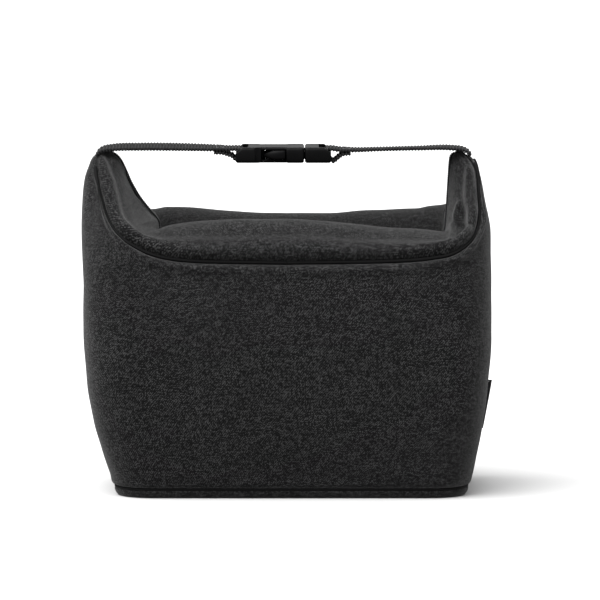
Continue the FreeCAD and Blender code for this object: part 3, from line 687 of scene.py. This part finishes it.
def makeTops():
    s = np.linspace(0, 1, topCloth["cols"])
    t = crowded(topCloth["rows"], 0.55)
    mid = topCloth["cols"] // 2
    leftCut = int(round(topCloth["cutLeft"] * (topCloth["cols"] - 1)))
    rightCut = int(round(topCloth["cutRight"] * (topCloth["cols"] - 1)))
    parts = (("earLeft", slice(0, leftCut + 1)), ("middle", slice(leftCut, rightCut + 1)),
             ("earRight", slice(rightCut, None)))
    depth = seamDepth(smileAt(s)[1], topCloth["grooveDepth"])[None]
    inward = seamInward(s)
    for where, sign in (("front", 1), ("back", -1)):
        p = topGrid(s, t, where == "front")
        up = lengthAlong(p, 0)
        across = lengthAlong(p, 1)
        edges = [(up[-1][None] - up, 0.6, 1.0)]
        seam = up, depth, topCloth["grooveWidth"], inward * [1, sign, 1]
        if where == "back":
            p = turnedBack(p)
        p, n = finishCloth(p, seam, edges, 11 if where == "front" else 41, np.array([0, -0.1 * sign, 1.0]))
        straight = across[int(topCloth["weaveRow"] * len(up))]
        straight = np.broadcast_to(straight - straight[mid], up.shape)
        uv = np.stack([sign * straight, up + topCloth["weaveStart"]], -1)
        for label, part in parts:
            cut = p[:, part], n[:, part], uv[:, part]
            if where == "back":
                cut = tuple(c[:, ::-1] for c in cut)
            piece = shell(f"{where}Top_{label}", *cut, topCloth["thick"], clothMaterial)
            if label == "middle":
                flap = ("root", where + "_flap")
                setWeights(piece, *flap, flapWeight)
                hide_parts(f"{where}_top_panel")
                padBehind(f"{where}TopPad", cut, topCloth["padding"], flap, flapWeight, [f"{where}_top_foam"])
                below = cut[0] - cut[1] * (topCloth["thick"] + topCloth["padding"] + topCloth["liningGap"])
                film = shell(f"{where}TopLining", below, *cut[1:], topCloth["liningThick"], linerMaterial)
                setWeights(film, *flap, flapWeight)
                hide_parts(f"{where}_top_liner")
            else:
                side = "left" if label == "earLeft" else "right"
                setWeights(piece, "root", "ear_" + side, earWeight)
                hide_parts("ear_" + side, "top_end_panels", "top_end_foam")
    print("top panels and ears sewn")


# sizes of the dark seam cords, which are painted shade in the seam grooves
seamShadeCord = {"radius": 1.35, "sunk": 2.1, "sides": 8, "baseRadius": 0.9, "baseInset": 0.9, "start": 0.05}


def tube(name, path, across, radius, material, closed=False):
    # round cord along points; across is a way that is never along it
    around = [k * 2 * math.pi / seamShadeCord["sides"] for k in range(seamShadeCord["sides"])]
    way = np.roll(path, -1, 0) - np.roll(path, 1, 0) if closed else np.gradient(path, axis=0)
    one = np.cross(way, across)
    one /= np.linalg.norm(one, axis=1, keepdims=True)
    two = np.cross(way, one)
    two /= np.linalg.norm(two, axis=1, keepdims=True)
    verts = [path + (one * math.cos(a) + two * math.sin(a)) * radius for a in around]
    verts = np.stack(verts, 1).reshape(-1, 3)
    count, rows = len(around), len(path)
    along = np.r_[0, np.cumsum(np.linalg.norm(np.diff(path, axis=0), axis=1))]
    uv = np.stack([np.repeat(along, count), np.tile(np.arange(count) * radius, rows)], -1)
    return newObject(name, verts, ringFaces(rows, count, joined=closed), material, None, uv)


def makeSeamShadeCord():
    # dark cord laid into the curved seams and round the base: painted shade that gives the seam grooves a
    # dark line, darker than the cloth; it also closes the gap along the seams
    s = np.linspace(seamShadeCord["start"], 1 - seamShadeCord["start"], int(300 * fineness) // 2 * 2 + 1)
    u, z = smileAt(s)
    inward = seamInward(s)
    path = bodyPoint(u, z) + inward * (seamDepth(z, panel["grooveDepth"]) - seamShadeCord["sunk"])[:, None]
    mid = len(s) // 2
    for where, flip in (("front", [1, 1, 1]), ("back", [1, -1, 1])):
        for side, part in (("left", slice(0, mid + 1)), ("right", slice(mid, None))):
            piece = tube(f"{where}SeamShadeCord_{side}", path[part] * flip, inward[part] * flip, seamShadeCord["radius"],
                         seamShadeCordMaterial)
            setWeights(piece, "root", "ear_" + side, earWeight)
    ring = outline(bag["baseSeam"], seamShadeCord["baseInset"])
    piece = tube("baseSeamShadeCord", ring, np.array([0, 0, 1.0]), seamShadeCord["baseRadius"], seamShadeCordMaterial, True)
    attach(piece, "root")
    print("seams bound")


zipper = {
    "pitch": 1.5, "toothReach": 2.1, "toothCross": 0.8, "toothHalf": 0.42, "toothHeight": 0.9, "tape": 0.6,
    "start": 0.012, "samples": 1400, "columns": 420, "sunk": 0.25,
}
toothSection = ((-1, -0.35), (1, -0.35), (1, 0.55), (0.55, 1), (-0.55, 1), (-1, 0.55))


def zipLine(s):
    # middle line of the zip with the way along it and the way out of the bag
    row, side = zipRow(s)
    centre = np.stack([side * row[:, 0], np.zeros_like(s), row[:, 2]], -1)
    way = np.gradient(centre, axis=0)
    way /= np.linalg.norm(way, axis=1, keepdims=True)
    out = np.stack([-way[:, 2], np.zeros_like(s), way[:, 0]], -1)
    return centre, way, out, row[:, 1]


def makeZip():
    # woven tape from each panel's edge to the middle, with a row of interlocking teeth
    start, end = zipper["start"], 1 - zipper["start"]
    fine = np.linspace(start, end, zipper["samples"])
    along = np.r_[0, np.cumsum(np.linalg.norm(np.diff(zipLine(fine)[0], axis=0), axis=1))]
    runs = (("earLeft", start, topCloth["cutLeft"]), ("middle", topCloth["cutLeft"], topCloth["cutRight"]),
            ("earRight", topCloth["cutRight"], end))
    for where, sign in (("front", -1), ("back", 1)):
        for label, first, last in runs:
            s = np.linspace(first, last, int(zipper["columns"] * (last - first)) + 8)
            centre, way, out, edge = zipLine(s)
            reach = np.stack([edge + 1.6, edge * 0.6 + 0.4, np.full_like(edge, 0.25)])
            p = centre[None] + np.array([0, sign, 0]) * reach[..., None] - out[None] * zipper["sunk"]
            place = np.interp(s, fine, along)
            uv = np.stack([np.broadcast_to(place, reach.shape), reach * sign], -1)
            n = np.broadcast_to(out[None], p.shape)
            grid = (p, n, uv) if sign < 0 else tuple(c[::-1] for c in (p, n, uv))
            tape = shell(f"{where}ZipTape_{label}", *grid, zipper["tape"], tapeMaterial)
            marks = np.arange(np.interp(first, fine, along), np.interp(last, fine, along), zipper["pitch"])
            marks = np.interp(marks + (0 if sign < 0 else zipper["pitch"] / 2), along, fine)
            teeth = makeTeeth(f"{where}ZipTeeth_{label}", marks, sign)
            flap = label == "middle"
            side = "left" if label == "earLeft" else "right"
            bodies = ("root", where + "_flap") if flap else ("root", "ear_" + side)
            setWeights(tape, *bodies, flapWeight if flap else earWeight)
            setWeights(teeth, *bodies, flapWeight if flap else earWeight)
            if flap:
                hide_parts("zip_tape_" + where)
                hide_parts("zip_teeth_" + where)
            else:
                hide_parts("zip_end_tapes", "zip_riser_" + side)
                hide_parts("zip_end_chain_" + side)
    print("zip set in")


def makeTeeth(name, places, sign):
    centre, way, out, edge = zipLine(np.asarray(places))
    half, height = zipper["toothHalf"], zipper["toothHeight"]
    verts, faces = [], []
    for c, w, o, e in zip(centre, way, out, edge):
        low = len(verts)
        near, far = -sign * zipper["toothCross"], sign * min(zipper["toothReach"], e + 0.4)
        for y, pinch in ((near, 0.75), ((near + far) / 2, 1.0), (far, 0.9)):
            for a, h in toothSection:
                verts.append(c + w * a * half * pinch + o * h * height * pinch + np.array([0, y, 0]))
        faces += ringFaces(3, len(toothSection), low, sign > 0)
    return newObject(name, verts, faces, teethMaterial, None, np.array(verts)[:, :2])


makePanels()
makeTops()
makeZip()


basePanel = {"rows": 22, "round": 3.6, "seamTuck": 1.2, "thick": 0.8}
lining = {
    "inset": 6.6, "floor": 7.4, "topEdge": 157.5, "rows": int(60 * fineness), "cornerRows": 8, "corner": 9.0,
    "crinkle": 0.5, "thick": 0.3,
}


def bowl(name, rings, thick, material):
    # closed dish from rings that run from the rim in to the middle
    rings = np.asarray(rings)
    rows, count = rings.shape[:2]
    wrapped = np.concatenate([rings[:, -1:], rings, rings[:, :1]], 1)
    n = gridNormals(wrapped)[:, 1:-1]
    if n[-1, 0, 2] > 0:
        n = -n
    middle = rings[-1].mean(0)
    inner = rings - n * thick
    verts = np.concatenate([rings.reshape(-1, 3), [middle], inner.reshape(-1, 3), [middle + [0, 0, thick]]])
    low = rows * count + 1
    faces = []
    for c in range(count):
        d = (c + 1) % count
        for r in range(rows - 1):
            a, b, e, f = r * count + c, r * count + d, (r + 1) * count + d, (r + 1) * count + c
            faces += [(a, f, e, b), (low + a, low + b, low + e, low + f)]
        last = (rows - 1) * count
        faces += [(last + c, low - 1, last + d), (low + last + d, 2 * low - 1, low + last + c)]
        faces.append((c, d, low + d, low + c))
    around = np.r_[0, np.cumsum(np.linalg.norm(np.diff(rings[0], axis=0), axis=1))]
    down = np.cumsum(np.linalg.norm(np.diff(rings, axis=0, prepend=rings[:1]), axis=2), axis=0)
    uv = np.stack([np.broadcast_to(around, down.shape), -down], -1).reshape(-1, 2)
    uv = np.concatenate([uv, [[0, 0]], uv, [[0, 0]]])
    return newObject(name, verts, faces, material, None, uv)


def outline(z, inset):
    # whole outline of the bag at one height, moved in by an inset
    s = np.linspace(0, 1, int(180 * fineness) + 1)
    ring = np.concatenate([bodyPoint(s, z), turnedBack(bodyPoint(s[::-1], z))[1:-1]])
    around = np.roll(ring, -1, 0) - np.roll(ring, 1, 0)
    inward = np.stack([-around[:, 1], around[:, 0], np.zeros(len(ring))], -1)
    inward /= np.linalg.norm(inward, axis=1, keepdims=True)
    return ring + inward * inset


def makeBase():
    # the dished base: its rim is the narrow band below the base seam
    rows = []
    for t in np.linspace(0, 1, basePanel["rows"]):
        height = bag["baseSeam"] * (1 - math.sin(t * math.pi / 2))
        tuck = basePanel["seamTuck"] * math.exp(-((bag["baseSeam"] - height) / 0.9) ** 2)
        ring = outline(bag["baseSeam"], tuck + basePanel["round"] * (1 - math.cos(t * math.pi / 2)))
        ring[:, 2] = height
        rows.append(ring)
    middle = rows[-1].mean(0)
    edge = rows[-1]
    rows += [middle + (edge - middle) * share for share in np.linspace(0.94, 0.04, 12)]
    piece = bowl("basePanel_cloth", rows, basePanel["thick"], clothMaterial)
    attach(piece, "root")
    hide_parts("base_panel")
    print("base sewn")


def makeLining():
    # crinkled film that lines the walls and the floor
    floor, corner, inset = lining["floor"], lining["corner"], lining["inset"]
    rows = [outline(z, inset) for z in np.linspace(lining["topEdge"], floor + corner, lining["rows"])]
    for t in np.linspace(0, 1, lining["cornerRows"])[1:]:
        ring = outline(floor + corner, inset + corner * (1 - math.cos(t * math.pi / 2)))
        ring[:, 2] = floor + corner * (1 - math.sin(t * math.pi / 2))
        rows.append(ring)
    edge = rows[-1]
    middle = edge.mean(0)
    rows += [middle + (edge - middle) * share for share in np.linspace(0.95, 0.03, int(30 * fineness))]
    rings = np.array(rows)
    lift = waves(rings, 14, lining["crinkle"], 12, 77) + waves(rings, 5, lining["crinkle"] * 0.3, 10, 78)
    towards = middle + [0, 0, 70] - rings
    towards /= np.linalg.norm(towards, axis=2, keepdims=True)
    rings = rings + towards * np.clip(lift + 0.6, 0, 2)[..., None]
    piece = bowl("lining_bag", rings, lining["thick"], linerMaterial)
    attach(piece, "root")
    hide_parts("liner")
    print("lining fitted")


makeBase()
makeLining()
makeSeamShadeCord()


# carrying strap

strapShape = {
    # route points are x, height and roll in degrees; the last run is the tail under the band
    "width": 25.0, "thick": 1.9, "step": 0.35, "rib": 2.1, "ribHeight": 0.32,
    "left": [(-127.2, 224.2, 0), (-125.4, 227.0, 1), (-122.0, 228.6, 2), (-117.0, 229.3, 3),
             (-98, 229.9, 3.6),
             (-70, 229.7, 3.4), (-50, 229.2, 2), (-36, 228.95, 0)],
    "right": [(122.6, 224.6, 0), (120.6, 227.0, 0), (117.0, 228.5, 0), (111.0, 229.2, 0), (88, 229.0, -1.6),
              (60, 228.3, -2), (44, 227.9, -1), (34, 228.4, 0), (31, 228.9, 0)],
    "leftTail": [(-36.5, 224.2, 0), (-39.6, 225.4, 0), (-43.5, 226.6, 0.5), (-48.8, 226.8, 1)],
    "rightTail": [(31.0, 220.9, 0), (33.6, 222.8, 0), (36.8, 225.2, 0), (42.6, 226.0, -0.5)],
    "barLeft": -32.6, "barRight": 27.9, "barHeight": 225.45, "barHalf": 2.5, "barReach": 1.6, "ease": 0.15,
}


def smoothPath(points, step):
    # a soft line through points, evenly divided
    pts = np.array(points, float)
    d = np.r_[0, np.cumsum(np.linalg.norm(np.diff(pts[:, :2], axis=0), axis=1))]
    t = np.linspace(0, d[-1], int(d[-1] / step) + 2)
    m = np.gradient(pts, d, axis=0)
    k = np.clip(np.searchsorted(d, t) - 1, 0, len(d) - 2)
    h = (d[k + 1] - d[k])[:, None]
    f = (t - d[k])[:, None] / h
    return between(f, pts[k], pts[k + 1], m[k] * h, m[k + 1] * h)


def ribbon(name, path, width, thick, rib, ribHeight, material):
    # flat woven band swept along a path in the XZ plane, with ribs across it
    tangent = np.gradient(path[:, :2], axis=0)
    tangent /= np.linalg.norm(tangent, axis=1, keepdims=True)
    roll = np.radians(path[:, 2])
    up = np.stack([-tangent[:, 1] * np.cos(roll), -np.sin(roll), tangent[:, 0] * np.cos(roll)], 1)
    wide = np.stack([np.zeros(len(path)), np.cos(roll), np.sin(roll)], 1)
    along = np.r_[0, np.cumsum(np.linalg.norm(np.diff(path[:, :2], axis=0), axis=1))]
    upper = [(-1, 0.35), (-0.98, 0.8)] + [(a, 1) for a in (-0.93, -0.6, -0.2, 0.2, 0.6, 0.93)] + [(0.98, 0.8)]
    loop = [(a * width / 2, h) for a, h in upper] + [(width / 2, 0.35), (width / 2, -0.35)]
    loop += [(a * width / 2, -h) for a, h in upper[:0:-1]] + [(-width / 2, -0.35)]
    count = len(loop)
    ribs = 1 + ribHeight * np.sin(along * 2 * np.pi / rib)
    verts, uv = [], []
    for k in range(len(path)):
        squeeze = 0.4 if k in (0, len(path) - 1) else 1.0
        centre = np.array([path[k, 0], 0, path[k, 1]])
        for y, h in loop:
            verts.append(centre + wide[k] * y + up[k] * h * thick / 2 * ribs[k] * squeeze)
            uv.append((along[k], y + h * thick / 2))
    return newObject(name, verts, ringFaces(len(path), count, flip=True), material, None, np.array(uv))


def stitches(name, lines, length, gap, radius, material):
    # short thread stitches laid along straight lines in space
    verts, faces = [], []
    for start, end in lines:
        start, end = np.array(start, float), np.array(end, float)
        long = np.linalg.norm(end - start)
        way = (end - start) / long
        side = np.cross(way, [0.3, 0.2, 0.93])
        side /= np.linalg.norm(side)
        lift = np.cross(side, way)
        count = max(1, int((long + gap) / (length + gap)))
        for k in range(count):
            middle = start + way * ((k + 0.5) * long / count)
            low = len(verts)
            for place, size in ((-0.5, 0.35), (-0.36, 0.9), (0, 1.1), (0.36, 0.9), (0.5, 0.35)):
                for a in range(6):
                    turn = a * math.pi / 3
                    around = side * math.cos(turn) + lift * math.sin(turn)
                    verts.append(middle + way * place * length + around * radius * size)
            faces += ringFaces(5, 6, low)
    return newObject(name, verts, faces, material, None, np.array(verts)[:, :2])


tack = {"stitch": 1.9, "gap": 0.7, "radius": 0.26, "inset": 3.0, "long": 5.0}


def makeStraps():
    thick, ease = strapShape["thick"], strapShape["ease"]
    above = strapShape["barHeight"] + strapShape["barHalf"] + thick / 2 + ease
    below = strapShape["barHeight"] - strapShape["barHalf"] - thick / 2 - ease
    reach = strapShape["barReach"] + thick / 2 + ease
    for side, way in (("left", 1), ("right", -1)):
        bar = strapShape["barLeft"] if side == "left" else strapShape["barRight"]
        turn = [(bar - way, above, 0), (bar + way * (reach - 1), above - 0.5, 0),
                (bar + way * reach, strapShape["barHeight"], 0), (bar + way * (reach - 1), below + 0.5, 0),
                (bar - way, below, 0)]
        path = smoothPath(strapShape[side] + turn + strapShape[side + "Tail"], strapShape["step"])
        piece = ribbon(f"strap_{side}_webbing", path, strapShape["width"], thick, strapShape["rib"],
                       strapShape["ribHeight"], webbingMaterial)
        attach(piece, "strap_" + side)
        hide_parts("strap_" + side)
        low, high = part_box(f"strap_{side}_tacks")
        centre = (low.x + high.x) / 2 / mm
        first = path[:np.argmax(np.abs(path[:, 0] - bar) < 2)]
        order = np.argsort(first[:, 0])
        ends = [centre - tack["long"] / 2, centre + tack["long"] / 2]
        wide = strapShape["width"] / 2 - tack["inset"]
        height, roll = (np.interp(ends, first[order, 0], first[order, k]) for k in (1, 2))

        def spot(end, y):
            return ends[end], y, height[end] + thick / 2 + 0.1 + y * math.tan(math.radians(roll[end]))

        corners = [spot(0, -wide), spot(1, -wide), spot(1, wide), spot(0, wide)]
        lines = [(corners[k], corners[(k + 1) % 4]) for k in range(4)]
        lines += [(corners[0], corners[2]), (corners[1], corners[3])]
        sewn = stitches(f"strap_{side}_stitching", lines, tack["stitch"], tack["gap"], tack["radius"],
                        threadMaterial)
        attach(sewn, "strap_" + side)
        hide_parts(f"strap_{side}_tacks")
    print("webbing woven")


makeStraps()

# folded side labels, left blank
sideLabels = {
    "thick": 0.45, "inside": 4.0, "rows": 14, "hem": 1.2,
    "left": {"low": 19.5, "high": 40.0, "reach": 1.7, "lean": -0.3},
    "right": {"low": 40.5, "high": 73.0, "reach": 2.9, "lean": 1.2},
}


def makeLabels():
    half, rows, hem = sideLabels["thick"], sideLabels["rows"], sideLabels["hem"]
    for side, way in (("left", -1), ("right", 1)):
        shape = sideLabels[side]
        heights = np.linspace(shape["low"], shape["high"], rows)
        edge = curveAt(bag[side], heights)
        verts, uv = [], []
        for k, z in enumerate(heights):
            outer = edge[k] + shape["reach"] + shape["lean"] * k / (rows - 1)
            inner = edge[k] - sideLabels["inside"]
            loop = [(inner, -half), (outer - 0.6, -half), (outer - 0.15, -half * 0.75), (outer, 0),
                    (outer - 0.15, half * 0.75), (outer - 0.6, half), (inner, half)]
            verts += [(way * x, y, z) for x, y in loop]
            uv += [(x, z) for x, y in loop]
        faces = ringFaces(rows, 7, flip=way < 0)
        piece = newObject(f"sideLabel_{side}", verts, faces, tapeMaterial, None, np.array(uv))
        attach(piece, "root")
        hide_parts("side_tag_" + side)
        seams = []
        for z in (shape["low"] + hem, shape["high"] - hem):
            x = curveAt(bag[side], z)
            ends = x - 0.5, x + shape["reach"] - 0.2
            seams.append([(way * end, -half - 0.1, z) for end in ends])
        sewn = stitches(f"sideLabel_{side}_stitching", seams, 1.1, 0.4, 0.16, paleThreadMaterial)
        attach(sewn, "root")
    print("side labels sewn")


makeLabels()


# buckle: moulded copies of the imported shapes, rounded all over

buckle = {
    "grain": 0.42, "quickGrain": 0.525, "rounding": 5,
    "middle": 225.4, "halfHeight": 5.2, "crown": 1.1, "arrisFrom": 12.0,
    "leafTip": -16.2, "leafLength": 8.0, "leafPoint": 0.26, "leafCrown": 0.9,
    # a rib inside the socket, two opposite corners
    "rib": ((-18.4, -5.4, 221.2), (-14.9, 5.4, 229.6)),
}


def crowned(co):
    # the long sides fall away above and below their middle
    up = (co[:, 2] - buckle["middle"]) / buckle["halfHeight"]
    outside = softStep((np.abs(co[:, 1]) - buckle["arrisFrom"]) / 4)
    co[:, 1] -= np.sign(co[:, 1]) * buckle["crown"] * outside * np.clip(up, -1, 1) ** 2
    return co


def leafShaped(co):
    # the thumb pads narrow to a point
    along = np.clip((co[:, 0] - buckle["leafTip"]) / buckle["leafLength"], 0, 1)
    high = buckle["leafPoint"] + (1 - buckle["leafPoint"]) * np.sqrt(along)
    up = (co[:, 2] - buckle["middle"]) / 3
    co[:, 2] = buckle["middle"] + (co[:, 2] - buckle["middle"]) * high
    pad = softStep((np.abs(co[:, 1]) - buckle["arrisFrom"]) / 3)
    co[:, 1] -= np.sign(co[:, 1]) * buckle["leafCrown"] * pad * np.clip(up, -1, 1) ** 2
    return co


def moulded(name, node, rider, reshape, rib=None):
    # an evenly meshed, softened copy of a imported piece, with its surface moved by reshape
    source = bpy.data.objects[node]
    body = bmesh.new()
    body.from_mesh(source.data)
    body.transform(source.matrix_world)
    bmesh.ops.remove_doubles(body, verts=body.verts, dist=1e-6)
    if rib:
        low, high = np.array(rib[0]), np.array(rib[1])
        for vert in bmesh.ops.create_cube(body, size=1.0)["verts"]:
            vert.co = Vector(((np.array(vert.co) + 0.5) * (high - low) + low) * mm)
    rough = bpy.data.meshes.new(name + "Rough")
    body.to_mesh(rough)
    body.free()
    holder = bpy.data.objects.new(name + "Rough", rough)
    bpy.context.scene.collection.objects.link(holder)
    even = holder.modifiers.new("even", "REMESH")
    even.mode = "VOXEL"
    even.voxel_size = (buckle["grain"] if fineness == 1.0 else buckle["quickGrain"]) * mm
    smooth = holder.modifiers.new("smooth", "SMOOTH")
    smooth.factor, smooth.iterations = 0.5, buckle["rounding"]
    graph = bpy.context.evaluated_depsgraph_get()
    result = bpy.data.meshes.new_from_object(holder.evaluated_get(graph))
    co = reshape(np.array([v.co for v in result.vertices]) / mm)
    piece = newObject(name, co, [list(f.vertices) for f in result.polygons], buckleMaterial)
    bpy.data.objects.remove(holder)
    for spent in (rough, result):
        bpy.data.meshes.remove(spent)
    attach(piece, rider)
    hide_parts(node)


def makeBuckle():
    moulded("buckle_socket_moulded", "buckle_socket", "strap_left", crowned, buckle["rib"])
    moulded("buckle_plug_moulded", "buckle_plug", "strap_right", crowned)
    for where in ("front", "back"):
        moulded("latch_" + where + "_moulded", "latch_arm_" + where, "latch_" + where, leafShaped)
    print("buckle ready")


makeBuckle()


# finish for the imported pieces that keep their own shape

finishes = {
    "buckle_plastic": buckleMaterial, "zip_plastic": teethMaterial, "zip_metal": metalMaterial,
    "foam": foamMaterial, "liner_film": linerMaterial, "board": boardMaterial, "thread": threadMaterial,
    "zip_tape": webbingMaterial, "tag_cloth": webbingMaterial, "webbing": webbingMaterial,
    "shell_cloth": clothMaterial,
}
for part in frame["record"]["subparts"]:
    node = bpy.data.objects.get(part["node"])
    if node is None:
        continue
    for holder in node.material_slots:
        holder.material = finishes[part["material_slot"]]

# floor, light and camera

studio = {
    "floor": 0.45, "target": (8.7, 0.0, 126.8), "distance": 6000.0, "rise": 6.0, "frameWidth": 402.0,
    "sky": 1.15, "sun": 7.4, "sunFrom": (-0.42, -0.36, 1.15), "sunSpread": 62.0,
}


def makeStudio():
    mesh = bpy.data.meshes.new("floor")
    mesh.from_pydata([(-4, -4, 0), (4, -4, 0), (4, 6, 0), (-4, 6, 0)], [], [(0, 1, 2, 3)])
    floor = bpy.data.objects.new("floor", mesh)
    bpy.context.scene.collection.objects.link(floor)
    m = Nodes("paleFloor")
    shade = m.place()
    tones = [(0.0, (studio["floor"],) * 3), (1.0, (studio["floor"] + 0.01,) * 3)]
    colour = m.ramp(m.noise(shade, 3.0, 2.0), tones)
    mesh.materials.append(m.finish(colour, None, 0.9, Specular_IOR_Level=0.0))
    world = bpy.data.worlds.new("studio")
    world.use_nodes = True
    world.node_tree.nodes["Background"].inputs[0].default_value = (1, 1, 1, 1)
    world.node_tree.nodes["Background"].inputs[1].default_value = studio["sky"]
    bpy.context.scene.world = world
    light = bpy.data.lights.new("softSun", "SUN")
    light.energy = studio["sun"]
    light.angle = math.radians(studio["sunSpread"])
    lamp = bpy.data.objects.new("softSun", light)
    lamp.rotation_euler = (-Vector(studio["sunFrom"])).to_track_quat("-Z", "Y").to_euler()
    bpy.context.scene.collection.objects.link(lamp)
    bpy.context.scene.view_settings.view_transform = "Standard"
    lens = bpy.data.cameras.new("camera")
    camera = bpy.data.objects.new("camera", lens)
    rise = math.radians(studio["rise"])
    target = Vector(studio["target"]) * mm
    camera.location = target + Vector((0, -math.cos(rise), math.sin(rise))) * studio["distance"] * mm
    camera.rotation_euler = (target - camera.location).to_track_quat("-Z", "Y").to_euler()
    lens.sensor_width = 36.0
    lens.lens = 36.0 * studio["distance"] / studio["frameWidth"]
    lens.clip_end = 100.0
    bpy.context.scene.collection.objects.link(camera)
    bpy.context.scene.camera = camera


makeStudio()

print("bag ready")
